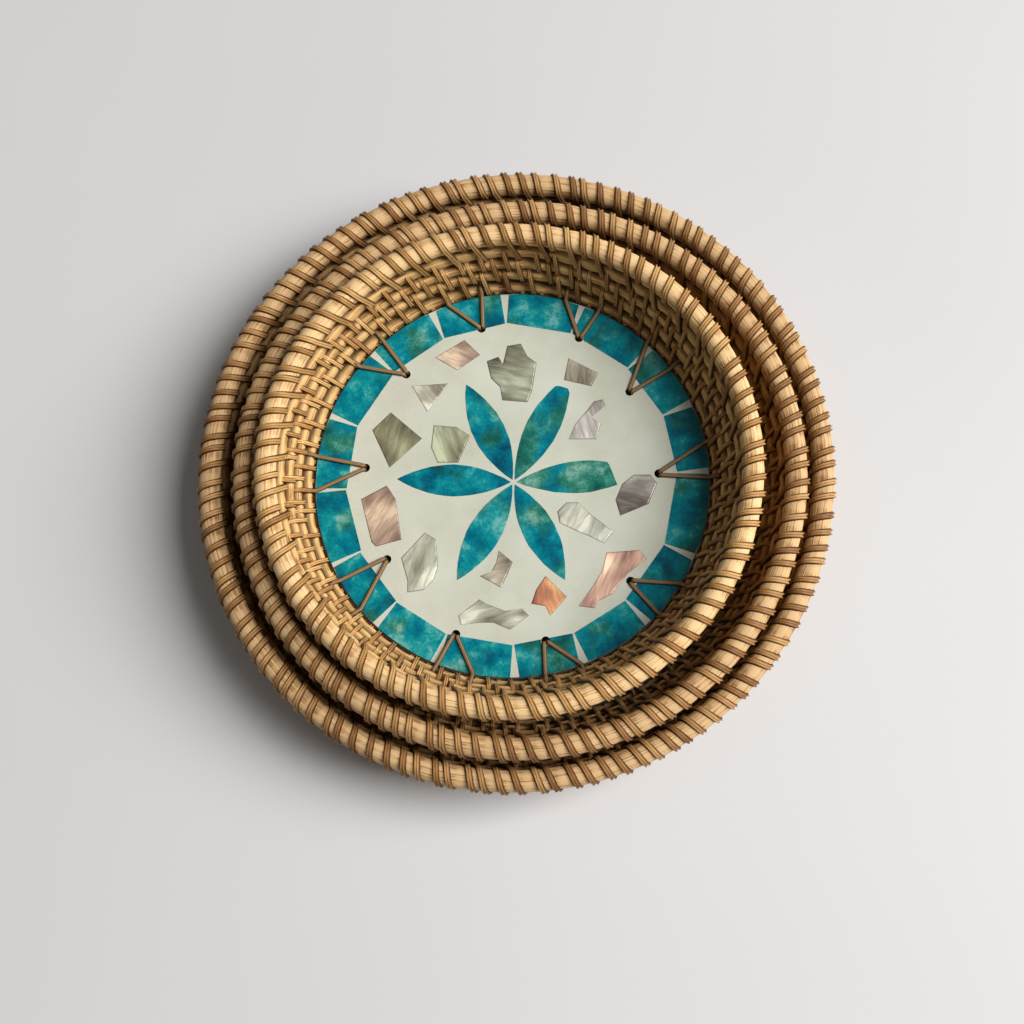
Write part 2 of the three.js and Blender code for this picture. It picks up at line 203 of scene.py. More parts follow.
class Tray:
    """One tray's places, worked out from its diameter: holes are (angle, inset), joints are angles."""

    def __init__(self, name, diameter, centre, holes, joints, ties, turns):
        self.name, self.holes, self.joints = name, holes, joints
        self.ties, self.turns = ties, turns
        self.body = name + "_tray"
        self.centre = Vector(centre)
        rim = Vector(((diameter - RIM_CANE) / 2, 0))
        lean = Vector((math.sin(WALL_LEAN), math.cos(WALL_LEAN)))
        rows = [rim - lean * ((RIM_CANE + ROW_CANE) / 2 + BINDING_ROOM)]
        for gap in (CLEARANCE, CLEARANCE, LACING + 2 * CLEARANCE):
            rows.append(rows[-1] - lean * (ROW_CANE + gap))
        rows.reverse()
        tuck = Vector((math.sin(FOOT_LEAN), math.cos(FOOT_LEAN)))
        foot = rows[0] - tuck * ((FOOT_CANE + ROW_CANE) / 2 + CLEARANCE)
        flat = FOOT_CANE / 2 * FOOT_FLATTENED
        lift = Vector((0, flat - foot.y))
        self.rim, self.foot = rim + lift, foot + lift
        self.rows = [row + lift for row in rows]
        self.board_radius = self.rows[0].x - ROW_CANE / 2 - CLEARANCE
        self.board_z = 2 * flat + CLEARANCE
        self.face_z = self.board_z + BOARD_STEP
        self.top_z = self.face_z + FACE_STEP
        self.leg_z = self.top_z + CLEARANCE + LACING / 2


def even(count):
    return [360 * i / count for i in range(count)]


def ring_of_holes(count):
    return [(angle, EVEN_HOLE_INSET) for angle in even(count)]


large = Tray("large", 0.27, (0, 0, 0), ring_of_holes(14), even(21), ties=74, turns=118)
nest_step = large.leg_z + LACING / 2 + CLEARANCE
medium = Tray("medium", 0.24, (0.0023, -0.0026, nest_step), ring_of_holes(12), even(18), ties=62, turns=104)
small = Tray("small", 0.21, (-0.0015, -0.0023, 2 * nest_step), SMALL_HOLES, SMALL_JOINTS, ties=54, turns=90)
trays = [large, medium, small]


def new_tree(name, sockets):
    group = bpy.data.node_groups.new(name, "GeometryNodeTree")
    for socket, kind in sockets:
        group.interface.new_socket(socket, in_out="INPUT", socket_type="NodeSocket" + kind)
    group.interface.new_socket("Geometry", in_out="OUTPUT", socket_type="NodeSocketGeometry")
    return group, group.nodes.new("NodeGroupInput").outputs, group.nodes.new("NodeGroupOutput").inputs[0]


def xyz(tree, x=0.0, y=0.0, z=0.0):
    return put(tree, "ShaderNodeCombineXYZ", X=x, Y=y, Z=z).outputs[0]


def parts_of(tree, vector):
    return put(tree, "ShaderNodeSeparateXYZ", i0=vector).outputs


def stored(tree, geometry, name, kind, value, domain="POINT"):
    settings = {"data_type": kind, "domain": domain}
    node = put(tree, "GeometryNodeStoreNamedAttribute", settings, Geometry=geometry, Name=name, Value=value)
    return node.outputs[0]


def step(tree, kind, geometry, **inputs):
    return put(tree, "GeometryNode" + kind, Geometry=geometry, **inputs).outputs[0]


coil_tree, size, out = new_tree("cane_coil", [
    ("Radius", "Float"), ("Height", "Float"), ("Half Width", "Float"), ("Half Height", "Float"),
    ("Squareness", "Float"), ("Steps", "Int"), ("Sides", "Int"), ("Ties", "Int"), ("Tie Depth", "Float"),
    ("Slant", "Float"), ("Wander", "Float"), ("Lowest", "Float"), ("Seed", "Float"), ("Crease", "Float"),
    ("Centre", "Vector"), ("Finish", "Material"),
])
tree = coil_tree
GRAIN_SCALE, GRAIN_RUN = 1000, 2.4
WANDER_RING = 5
sheet = {"Vertices_X": size["Steps"], "Vertices_Y": size["Sides"]}
grid = put(tree, "GeometryNodeMeshGrid", Size_X=1.0, Size_Y=1.0, **sheet)
share_round, share_section, _ = parts_of(tree, grid.outputs["UV Map"])
around = times(tree, share_round, math.tau)
section = times(tree, share_section, math.tau)
cos_a, sin_a = sums(tree, "COSINE", around), sums(tree, "SINE", around)
cos_s, sin_s = sums(tree, "COSINE", section), sums(tree, "SINE", section)


def squared(value):
    power = sums(coil_tree, "POWER", sums(coil_tree, "ABSOLUTE", value), size["Squareness"])
    return times(coil_tree, sums(coil_tree, "SIGN", value), power)


turn = sums(tree, "MULTIPLY_ADD", share_round, size["Ties"], times(tree, share_section, size["Slant"]))
away = sums(tree, "ABSOLUTE", sums(tree, "SUBTRACT", sums(tree, "FRACT", turn), 0.5))
# Where a tie holds the cane: the shape is pinched there, and the finish paints shade there.
held = ranged(tree, away, "SMOOTHSTEP", From_Min=0.1, From_Max=0.4)
pinch = times(tree, held, size["Tie Depth"])
out_r = times(tree, sums(tree, "SUBTRACT", size["Half Width"], pinch), squared(cos_s))
out_z = times(tree, sums(tree, "SUBTRACT", size["Half Height"], pinch), squared(sin_s))
loop = xyz(tree, times(tree, cos_a, WANDER_RING), times(tree, sin_a, WANDER_RING), size["Seed"])
drift = put(tree, "ShaderNodeTexNoise", Vector=loop, Scale=2.0, Detail=2.0).outputs["Color"]
drift = parts_of(tree, drift)
drift_r = times(tree, sums(tree, "SUBTRACT", drift[0], 0.5), size["Wander"])
drift_z = times(tree, sums(tree, "SUBTRACT", drift[1], 0.5), size["Wander"])
radius = sums(tree, "ADD", sums(tree, "ADD", size["Radius"], out_r), drift_r)
height = sums(tree, "ADD", sums(tree, "ADD", size["Height"], out_z), drift_z)
height = sums(tree, "MAXIMUM", height, size["Lowest"])
spot = xyz(tree, times(tree, radius, cos_a), times(tree, radius, sin_a), height)
spot = put(tree, "ShaderNodeVectorMath", {"operation": "ADD"}, i0=spot, i1=size["Centre"]).outputs[0]
grain_r, grain_z = times(tree, out_r, GRAIN_SCALE), times(tree, out_z, GRAIN_SCALE)
grain = xyz(tree, grain_r, grain_z, times(tree, cos_a, GRAIN_RUN))
lengthwise = sums(tree, "MULTIPLY_ADD", sin_a, GRAIN_RUN, size["Seed"])
# Painted shade: the coil's upper and lower flanks, where it meets its neighbours, are drawn darker.
edge = ranged(tree, sums(tree, "ABSOLUTE", sin_s), "SMOOTHSTEP", From_Min=0.84, From_Max=0.995)
crease = times(tree, edge, size["Crease"])
shaped = stored(tree, grid.outputs["Mesh"], "grain", "FLOAT_VECTOR", grain)
for name, value in (("lengthwise", lengthwise), ("held", held), ("crease", crease)):
    shaped = stored(tree, shaped, name, "FLOAT", value)
shaped = step(tree, "SetPosition", shaped, Position=spot)
shaped = step(tree, "MergeByDistance", shaped, Distance=0.000005)
shaped = step(tree, "SetShadeSmooth", shaped)
shaped = step(tree, "RealizeInstances", shaped)
tree.links.new(step(tree, "SetMaterial", shaped, Material=size["Finish"]), out)


def grown(name, mesh, group, **values):
    piece = bpy.data.objects.new(name, mesh)
    scene.collection.objects.link(piece)
    growth = piece.modifiers.new("growth", "NODES")
    growth.node_group = group
    for item in group.interface.items_tree:
        key = item.name.replace(" ", "_")
        if item.in_out == "INPUT" and key in values:
            growth[item.identifier] = values[key]
    final = bpy.data.meshes.new_from_object(piece.evaluated_get(bpy.context.evaluated_depsgraph_get()))
    piece.modifiers.clear()
    piece.data = final
    bpy.data.meshes.remove(mesh)
    final.name = name
    return piece


def marked(tree, name, output="Fac"):
    return put(tree, "ShaderNodeAttribute", {"attribute_name": name}).outputs[output]


def mixed_colour(tree, amount, first, second, kind="MIX"):
    settings = {"data_type": "RGBA", "blend_type": kind}
    return put(tree, "ShaderNodeMix", settings, i0=amount, i6=first, i7=second).outputs[2]


def raised(tree, height, strength, distance):
    return put(tree, "ShaderNodeBump", Height=height, Strength=strength, Distance=distance).outputs[0]


# Colour of the painted shade in the creases between coils.
PAINTED_CREASE_SHADE_COLOUR = (0.06, 0.024, 0.009, 1)


def cane_finish(name, pale, mid, deep):
    finish, tree, shader = finish_of(name)
    run = {"Vector": marked(tree, "grain", "Vector"), "W": marked(tree, "lengthwise")}
    kind = {"noise_dimensions": "4D"}
    fine = put(tree, "ShaderNodeTexNoise", kind, Scale=1.9, Detail=4.0, Roughness=0.68, **run).outputs["Fac"]
    broad = put(tree, "ShaderNodeTexNoise", kind, Scale=0.55, Detail=2.0, **run).outputs["Fac"]
    grain = sums(tree, "MULTIPLY_ADD", fine, 0.8, times(tree, broad, 0.3))
    # Painted shade: the cane is drawn darker where the ties pinch it.
    grain = sums(tree, "MULTIPLY_ADD", marked(tree, "held"), -0.07, grain)
    colour = shades(tree, grain, [(0.36, deep), (0.46, mid), (0.53, pale)])
    # Painted shade darkens the creases between coils.
    colour = mixed_colour(tree, marked(tree, "crease"), colour, PAINTED_CREASE_SHADE_COLOUR)
    wear = ranged(tree, fine, To_Min=0.48, To_Max=0.68)
    rise = raised(tree, fine, 0.55, 0.0004)
    feed(tree, shader, Base_Color=colour, Roughness=wear, Normal=rise, Specular_IOR_Level=0.15)
    return finish


straw_cane = cane_finish("straw_cane", (0.85, 0.545, 0.23), (0.61, 0.34, 0.12), (0.22, 0.086, 0.022))
tan_cane = cane_finish("tan_cane", (0.66, 0.41, 0.17), (0.46, 0.248, 0.085), (0.16, 0.062, 0.016))
# The medium and large trays get a darker copy of the cane, partly a browner tone and partly painted shade for
# their walls in the deep gaps.
for tray in trays:
    tray.cane = straw_cane if tray is small else tan_cane
    coil = grown(
        tray.name + "_foot_cane", bpy.data.meshes.new("foot"), coil_tree, Radius=tray.foot.x,
        Height=tray.foot.y, Half_Width=FOOT_CANE / 2, Half_Height=FOOT_CANE / 2, Squareness=0.85, Steps=361,
        Sides=15, Ties=tray.ties, Tie_Depth=0.0001, Slant=0.0, Wander=0.0002, Lowest=0.0003, Seed=1.0,
        Crease=0.4, Centre=tray.centre, Finish=tray.cane,
    )
    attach(coil, tray.body)
    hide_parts(tray.name + "_foot_coil")

# Base boards.
# A thin disc of board, stained black, lies on the foot coil inside the lowest row.
# Its edge shows as a dark line round the inlay, and its holes are drilled for lacing.
BOARD_HOLE, GLUE_LINE = 0.002, 0.0001
DISC_EDGE = 0.0002
DISC_STEPS, HOLE_STEPS = 180, 16


def ring_places(x, y, radius, count):
    angles = [math.tau * i / count for i in range(count)]
    return [(x + radius * math.cos(a), y + radius * math.sin(a)) for a in angles]


def mesh_of(shape, name, centre):
    bmesh.ops.recalc_face_normals(shape, faces=shape.faces)
    bmesh.ops.translate(shape, verts=shape.verts, vec=centre)
    mesh = bpy.data.meshes.new(name)
    shape.to_mesh(mesh)
    shape.free()
    return mesh


def flat_disc(radius, holes, hole_radius, low, high, centre):
    shape = bmesh.new()
    rings = [ring_places(0, 0, radius - DISC_EDGE, DISC_STEPS)]
    rings += [ring_places(x, y, hole_radius, HOLE_STEPS) for x, y in holes]
    outlines = [[shape.verts.new((x, y, high)) for x, y in ring] for ring in rings]
    edges = [shape.edges.new((ring[i], ring[i - 1])) for ring in outlines for i in range(len(ring))]
    bmesh.ops.triangle_fill(shape, edges=edges, use_beauty=True, use_dissolve=False)
    for face in shape.faces:
        if face.normal.z < 0:
            face.normal_flip()
    top = list(shape.faces)
    below = {v: shape.verts.new((v.co.x, v.co.y, low)) for v in list(shape.verts)}
    middle = {}
    for v in outlines[0]:
        way = Vector((v.co.x, v.co.y, 0)).normalized() * radius
        middle[v] = shape.verts.new((way.x, way.y, high - DISC_EDGE))
        below[v].co = (way.x, way.y, low)
    for face in top:
        shape.faces.new([below[v] for v in reversed(face.verts)])
    for number, ring in enumerate(outlines):
        for i, v in enumerate(ring):
            w = ring[i - 1]
            if number:
                shape.faces.new((w, v, below[v], below[w]))
            else:
                shape.faces.new((w, middle[w], middle[v], v))
                shape.faces.new((middle[w], below[w], below[v], middle[v]))
    return mesh_of(shape, "disc", centre)


def laid(name, mesh, finish):
    piece = bpy.data.objects.new(name, mesh)
    mesh.name = name
    mesh.materials.append(finish)
    scene.collection.objects.link(piece)
    return piece


def hole_places(tray):
    places = []
    for angle, inset in tray.holes:
        r, a = tray.board_radius - inset, math.radians(angle)
        places.append((r * math.cos(a), r * math.sin(a)))
    return places


black_board, tree, shader = finish_of("black_board")
stretched = put(tree, "ShaderNodeMapping", Vector=object_place(tree), Scale=(40, 900, 200)).outputs[0]
fibre = noise(tree, stretched, 1.0, 5.0)
colour = shades(tree, fibre, [(0.3, (0.006, 0.005, 0.004)), (0.75, (0.028, 0.022, 0.017))])
feed(tree, shader, Base_Color=colour, Roughness=0.5, Normal=raised(tree, fibre, 0.25, 0.0002))
for tray in trays:
    radius, top = tray.board_radius, tray.face_z - GLUE_LINE
    disc = flat_disc(radius, hole_places(tray), BOARD_HOLE, tray.board_z, top, tray.centre)
    board = laid(tray.name + "_black_board", disc, black_board)
    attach(board, tray.body)
    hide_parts(tray.name + "_base_board")

# Resin faces.
# Cream resin is poured over the board round the shell and rubbed down to a gloss.
# It stops just short of the board's edge and is drilled with it.
FACE_INSET, FACE_HOLE, RESIN_THICKNESS = 0.0009, 0.0019, 0.0008
cream_resin, tree, shader = finish_of("cream_resin")
place = object_place(tree)
cloud = noise(tree, place, 38.0, 3.0, Roughness=0.55)
specks = noise(tree, place, 900.0, 2.0)
milk = sums(tree, "MULTIPLY_ADD", specks, 0.22, times(tree, cloud, 0.8))
colour = shades(tree, milk, [
    (0.3, (0.527, 0.535, 0.435)), (0.5, (0.585, 0.605, 0.505)), (0.7, (0.64, 0.66, 0.572)),
])
ripple = raised(tree, noise(tree, place, 120.0, 2.0), 0.12, 0.0006)
polish = ranged(tree, cloud, To_Min=0.2, To_Max=0.34)
feed(tree, shader, Base_Color=colour, Roughness=polish, Normal=ripple, Coat_Weight=0.25, Coat_Roughness=0.12)
for tray in trays:
    radius, top = tray.board_radius - FACE_INSET, tray.face_z + RESIN_THICKNESS
    disc = flat_disc(radius, hole_places(tray), FACE_HOLE, tray.face_z, top, tray.centre)
    face = laid(tray.name + "_cream_face", disc, cream_resin)
    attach(face, tray.body)
    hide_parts(tray.name + "_resin_face")

# Shell border.
# Straight-cut tiles of shell, dyed teal, ring the base just inside its edge.
# They are nearly square, so the resin joints between them open outwards as wedges.
TILE_INNER, TILE_OUTER = 0.0144, 0.00095
INNER_JOINT, OUTER_JOINTS = 0.00035, (0.0008, 0.0027)
CORNER_SLIP = (-0.0005, 0.0003)
TILE_ARC_STEPS, NOTCH, NOTCH_STEPS = 6, 0.0021, 8
BEVEL_DEPTH, TILE_BEVEL, LEAST_ARM = 0.00015, 0.00016, 0.0015


def tablet(shape, outline, low, high, bevel, tone, tint):
    middle = sum((Vector(p) for p in outline), Vector((0, 0))) / len(outline)
    layers = shape.verts.layers
    rings = []
    for z, inset in ((low, 0), (high - BEVEL_DEPTH, 0), (high, bevel)):
        ring = []
        for p in outline:
            arm = Vector(p) - middle
            spot = middle + arm * (1 - inset / max(arm.length, LEAST_ARM))
            vert = shape.verts.new((spot.x, spot.y, z))
            vert[layers.float["tone"]] = tone
            vert[layers.float["edge"]] = 0 if inset else 1
            vert[layers.float_color["tint"]] = (*tint, 1)
            ring.append(vert)
        rings.append(ring)
    for lower, upper in zip(rings, rings[1:]):
        for i in range(len(outline)):
            shape.faces.new((lower[i - 1], lower[i], upper[i], upper[i - 1]))
    shape.faces.new(list(reversed(rings[0])))
    shape.faces.new(rings[2])


def tablets(outlines, tints, tray, seed, high, bevel):
    """Shell tablets of one mesh. Each has a chance tone and its own tint, which the finishes read."""
    shape = bmesh.new()
    shape.verts.layers.float.new("tone")
    shape.verts.layers.float.new("edge")
    shape.verts.layers.float_color.new("tint")
    chance = random.Random(seed)
    for outline, tint in zip(outlines, tints):
        tablet(shape, outline, tray.face_z, high, bevel, chance.random(), tint)
    return mesh_of(shape, "shell", tray.centre)


def notches(start, end, holes):
    way = (end - start).normalized()
    inward = Vector((-way.y, way.x))
    points = []
    for hole in holes:
        along, off = (Vector(hole) - start).dot(way), (Vector(hole) - start).dot(inward)
        if abs(off) < NOTCH < along < (end - start).length - NOTCH:
            low = math.asin(-off / NOTCH)
            for k in range(NOTCH_STEPS + 1):
                a = math.pi - low + (2 * low - math.pi) * k / NOTCH_STEPS
                on, up = along + NOTCH * math.cos(a), off + NOTCH * math.sin(a)
                points.append(start + way * on + inward * up)
    return [(p.x, p.y) for p in points]


def tile_outlines(tray):
    chance = random.Random(tray.name)
    inner, outer = tray.board_radius - TILE_INNER, tray.board_radius - TILE_OUTER
    found = []
    for joint, following in zip(tray.joints, tray.joints[1:] + [tray.joints[0] + 360]):
        a, b = math.radians(joint), math.radians(following)
        narrow = math.asin(INNER_JOINT / inner)
        wide = math.asin(chance.uniform(*OUTER_JOINTS) / outer)
        corners = []

        def corner(r, angle):
            r += chance.uniform(*CORNER_SLIP)
            corners.append((r * math.cos(angle), r * math.sin(angle)))

        corner(inner, a + narrow)
        corner(outer, a + wide)
        for k in range(1, TILE_ARC_STEPS):
            angle = a + wide + (b - a - 2 * wide) * k / TILE_ARC_STEPS
            corners.append((outer * math.cos(angle), outer * math.sin(angle)))
        corner(outer, b - wide)
        corner(inner, b - narrow)
        found.append(corners + notches(Vector(corners[-1]), Vector(corners[0]), hole_places(tray)))
    return found


def spun_place(tree, turns):
    """Object place turned by each tablet's own tone, so that no two show the same figure."""
    turn = times(tree, marked(tree, "tone"), turns)
    settings = {"rotation_type": "Z_AXIS"}
    return put(tree, "ShaderNodeVectorRotate", settings, Vector=object_place(tree), Angle=turn).outputs[0]


teal_shell, tree, shader = finish_of("teal_shell")
tone = marked(tree, "tone")
shift = xyz(tree, tone, tone, tone)
place = put(tree, "ShaderNodeVectorMath", {"operation": "ADD"}, i0=spun_place(tree, 25), i1=shift).outputs[0]
blotch = noise(tree, place, 95.0, 6.0, Roughness=0.6, Distortion=0.2)
flecks = noise(tree, place, 900.0, 3.0, Roughness=0.7)
dye = sums(tree, "MULTIPLY_ADD", tone, 0.1, times(tree, blotch, 0.86))
dye = sums(tree, "MULTIPLY_ADD", flecks, 0.22, dye)
teal = shades(tree, dye, [
    (0.42, (0.0, 0.06, 0.105)), (0.52, (0.0, 0.125, 0.19)), (0.6, (0.0, 0.19, 0.25)),
    (0.68, (0.008, 0.28, 0.3)), (0.79, (0.16, 0.47, 0.45)),
])
moss = shades(tree, dye, [
    (0.47, (0.004, 0.075, 0.05)), (0.62, (0.02, 0.16, 0.1)), (0.7, (0.08, 0.27, 0.2)),
    (0.8, (0.3, 0.46, 0.36)),
])
mossy = put(tree, "ShaderNodeSeparateColor", i0=marked(tree, "tint", "Color")).outputs["Green"]
veil = sums(tree, "ADD", noise(tree, place, 52.0, 2.0), times(tree, mossy, 0.14))
green = ranged(tree, veil, From_Min=0.53, From_Max=0.66, To_Max=0.85)
polish = ranged(tree, flecks, To_Min=0.16, To_Max=0.34)
rise = raised(tree, blotch, 0.1, 0.0006)
colour = mixed_colour(tree, green, teal, moss)
feed(tree, shader, Base_Color=colour, Roughness=polish, Normal=rise, Specular_IOR_Level=0.1)


def lay_teal(tray, outlines, mosses, word, node):
    """Lay the small tray's tablets one by one over their nodes, and another tray's as one piece."""
    tints = [(0, share, 0) for share in mosses]
    if tray is not small:
        name = f"{tray.name}_teal_{word}s"
        piece = laid(name, tablets(outlines, tints, tray, name, tray.top_z, TILE_BEVEL), teal_shell)
        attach(piece, tray.body)
        return
    for i, outline in enumerate(outlines):
        name = f"small_teal_{word}_{i + 1}"
        piece = laid(name, tablets([outline], tints[i:], tray, name, tray.top_z, TILE_BEVEL), teal_shell)
        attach(piece, tray.body)
        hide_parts(f"{node}_{i + 1}")


for tray in trays:
    lay_teal(tray, tile_outlines(tray), [0] * len(tray.joints), "tile", "small_border_tile")

# Shell flower.
# Six pointed petals cut from the same teal shell meet near the middle of the base.
# Thin lines of resin part them at their inner points, and two have lost their tips.
PETALS = [
    (4.2, 0.66, 0.5, -0.3, 0.9), (63, 0.63, 0.555, -0.15, 0.35), (115.5, 0.57, 1, 0, 0.15),
    (178, 0.59, 1, 0, 0), (240.8, 0.57, 1, 0, 0), (297.3, 0.56, 1, 0, 0.1),
]
FLOWER_X, FLOWER_Y = 0.0012, -0.0009
PETAL_START, PETAL_HALF_WIDTH, PETAL_STEPS = 0.0011, 0.0071, 14
PETAL_FULLNESS, PETAL_WAVER = 0.86, (-0.03, 0.02)
POINT_TAPER, RESIN_LINE, LEAST_HALF_WIDTH = 0.5, 0.0003, 0.0001


def petal_outline(tray, number):
    """A petal is its turn, its reach, where it is broken off, the break's slant and its share of moss."""
    degrees, reach, broken, slant, _ = PETALS[number]
    length = tray.board_radius * reach
    turn = math.radians(degrees)
    chance = random.Random(f"{tray.name}{number}")
    points = []
    for side in (-1, 1):
        for k in range(PETAL_STEPS):
            t = k / PETAL_STEPS if side < 0 else 1 - k / PETAL_STEPS
            along = PETAL_START + (length - PETAL_START) * t
            across = PETAL_HALF_WIDTH * math.sin(math.pi * t) ** PETAL_FULLNESS
            across *= 1 + chance.uniform(*PETAL_WAVER)
            across = side * min(across, max(LEAST_HALF_WIDTH, along * POINT_TAPER - RESIN_LINE))
            along = min(along, tray.board_radius * broken + slant * across)
            x = along * math.cos(turn) - across * math.sin(turn) + FLOWER_X
            y = along * math.sin(turn) + across * math.cos(turn) + FLOWER_Y
            points.append((x, y))
    return points


for tray in trays:
    outlines = [petal_outline(tray, n) for n in range(len(PETALS))]
    lay_teal(tray, outlines, [petal[4] for petal in PETALS], "petal", "small_petal")

# Loose shell chips.
# Broken bits of pearly shell lie in the resin between flower and border.
# Each is its own colour, from silver and green to pink and brown, and its outline is in mm.
CHIP_RISE, CHIP_BEVEL = 0.001, 0.0007
CHIPS = [
    ((0.4, 0.28, 0.22), [(-24, 50), (-14, 57), (-21, 64), (-34, 56)]),
    ((0.25, 0.25, 0.18), [
        (-9, 46), (-5, 42), (-4, 36), (7, 35), (9, 40), (11, 53), (7, 56), (4, 62), (-2, 61), (-4, 52),
        (-6, 56), (-11, 54),
    ]),
    ((0.33, 0.3, 0.23), [(23, 45), (35, 42), (38, 48), (25, 55)]),
    ((0.5, 0.48, 0.39), [(-37, 31), (-28, 44), (-44, 43)]),
    ((0.21, 0.2, 0.125), [(-61, 23), (-53, 6), (-39, 19), (-53, 31)]),
    ((0.3, 0.3, 0.2), [(-35, 15), (-32, 8), (-23, 8), (-18, 20), (-24, 24), (-34, 25)]),
    ((0.47, 0.43, 0.41), [
        (36, 35), (33, 31), (28, 25), (25, 18), (37, 18), (39, 25), (35, 28), (41, 33), (40, 36),
    ]),
    ((0.29, 0.265, 0.235), [(45, -9), (47, -16), (59, -11), (63, -2), (60, 2), (53, 2), (48, -2)]),
    ((0.39, 0.38, 0.32), [
        (21, -19), (29, -23), (34, -25), (40, -28), (44, -23), (34, -15), (29, -10), (24, -10), (20, -14),
    ]),
    ((0.36, 0.25, 0.19), [(-60, -27), (-58, -29), (-47, -26), (-50, -8), (-54, -2), (-65, -8)]),
    ((0.41, 0.41, 0.33), [
        (-47, -34), (-44, -44), (-44, -49), (-37, -48), (-33, -44), (-31, -38), (-32, -26), (-37, -23),
    ]),
    ((0.38, 0.33, 0.26), [(-6, -36), (-8, -40), (-13, -42), (-4, -47), (-1, -41), (1, -36), (-5, -31)]),
    ((0.62, 0.38, 0.3), [
        (39, -40), (34, -48), (29, -55), (36, -56), (37, -53), (43, -50), (50, -41), (58, -35), (55, -31),
        (41, -32),
    ]),
    ((0.55, 0.24, 0.13), [(11, -48), (9, -54), (15, -55), (17, -59), (24, -51), (15, -42)]),
    ((0.36, 0.35, 0.29), [
        (-22, -59), (-21, -63), (-13, -62), (-7, -62), (0, -65), (8, -59), (5, -56), (-2, -57), (-10, -54),
        (-13, -52),
    ]),
]
pearl_shell, tree, shader = finish_of("pearl_shell")
place = spun_place(tree, 40)
broad = noise(tree, place, 64.0, 0.0, Distortion=0.3)
drawn = put(tree, "ShaderNodeMapping", Vector=place, Scale=(70, 330, 70)).outputs[0]
streak = noise(tree, drawn, 1.0, 3.0, Roughness=0.6, Distortion=0.9)
# The shell's banding, partly its own colour and partly painted sheen; the brightest bands are painted
# highlights above white.
nacre_and_painted_sheen = sums(tree, "MULTIPLY_ADD", streak, 0.55, times(tree, broad, 0.75))
nacre_and_painted_highlights = shades(tree, nacre_and_painted_sheen, [
    (0.44, (0.42, 0.4, 0.36)), (0.55, (0.8, 0.79, 0.75)), (0.65, (1.12, 1.12, 1.1)),
    (0.74, (1.55, 1.56, 1.58)), (0.84, (2.3, 2.3, 2.35)),
])
edge = marked(tree, "edge")
# Painted shade: the chips' bevelled edges are drawn darker.
nacre_and_painted_highlights = mixed_colour(tree, times(tree, edge, 0.85), nacre_and_painted_highlights, (0.22, 0.21, 0.19, 1))
colour = mixed_colour(tree, 1.0, marked(tree, "tint", "Color"), nacre_and_painted_highlights, "MULTIPLY")
hue = sums(tree, "MULTIPLY_ADD", broad, 0.1, 0.455)
colour = put(tree, "ShaderNodeHueSaturation", Hue=hue, Saturation=1.0, Color=colour).outputs[0]
dull = sums(tree, "MULTIPLY_ADD", edge, 0.6, 0.2)
metal = sums(tree, "MULTIPLY_ADD", edge, -0.25, 0.25)
rise = raised(tree, nacre_and_painted_sheen, 0.3, 0.0012)
feed(tree, shader, Base_Color=colour, Roughness=dull, Metallic=metal, Normal=rise, Specular_IOR_Level=0.3)
for tray in trays:
    spread = tray.board_radius / small.board_radius - 1
    outlines = []
    for _, corners in CHIPS:
        middle = sum((Vector(c) for c in corners), Vector((0, 0))) / len(corners)
        outlines.append([(Vector(c) + middle * spread) / 1000 for c in corners])
    tints = [tint for tint, _ in CHIPS]
    mesh = tablets(outlines, tints, tray, "chips" + tray.name, tray.face_z + CHIP_RISE, CHIP_BEVEL)
    chips = laid(tray.name + "_pearl_chips", mesh, pearl_shell)
    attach(chips, tray.body)

# Wall rows.
# Four hoops of core cane stand on one another and lean outwards to the rim, with shade painted in their
# creases.
# They are squarish where the stitches press them, each wanders a little, and the top one is fuller.
ROW_THINNER, ROW_TALLER = 0.0002, 0.0004
TOP_SWELL, TOP_SWELL_OUT = 0.0007, 0.35
for tray in trays:
    for i, row in enumerate(tray.rows):
        swell = TOP_SWELL if row is tray.rows[-1] else 0.0
        coil = grown(
            f"{tray.name}_row_cane_{i + 1}", bpy.data.meshes.new("row"), coil_tree,
            Radius=row.x + swell * TOP_SWELL_OUT, Height=row.y + swell, Half_Width=ROW_CANE / 2 - ROW_THINNER,
            Half_Height=ROW_CANE / 2 + ROW_TALLER + swell, Squareness=0.72, Steps=433, Sides=17,
            Ties=tray.ties, Tie_Depth=0.0003, Slant=0.4, Wander=0.0005, Lowest=-1.0, Seed=3.0 * i + 2.0,
            Crease=0.9, Centre=tray.centre, Finish=tray.cane,
        )
        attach(coil, tray.body)
        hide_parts(f"{tray.name}_wall_row_{i + 1}")

# Row stitching.
# Narrow peel is sewn round each pair of rows, one stitch between the two below it.
# The stitches slant a little, in two strands side by side; those of the foot pierce row one.
stitch_tree, size, out = new_tree("stitch_ring", [
    ("Stitch", "Geometry"), ("Count", "Int"), ("Phase", "Float"), ("Sway", "Float"), ("Swell", "Float"),
    ("Seed", "Int"), ("Centre", "Vector"), ("Finish", "Material"),
])
tree = stitch_tree


def chance_of(low, high, extra):
    node = put(stitch_tree, "FunctionNodeRandomValue", {"data_type": "FLOAT"})
    for socket, value in (("Min", low), ("Max", high)):
        floats = [s for s in node.inputs if s.name == socket and s.type == "VALUE"]
        floats[0].default_value = value
    feed(stitch_tree, node, Seed=sums(stitch_tree, "ADD", size["Seed"], extra))
    return [s for s in node.outputs if s.type == "VALUE"][0]


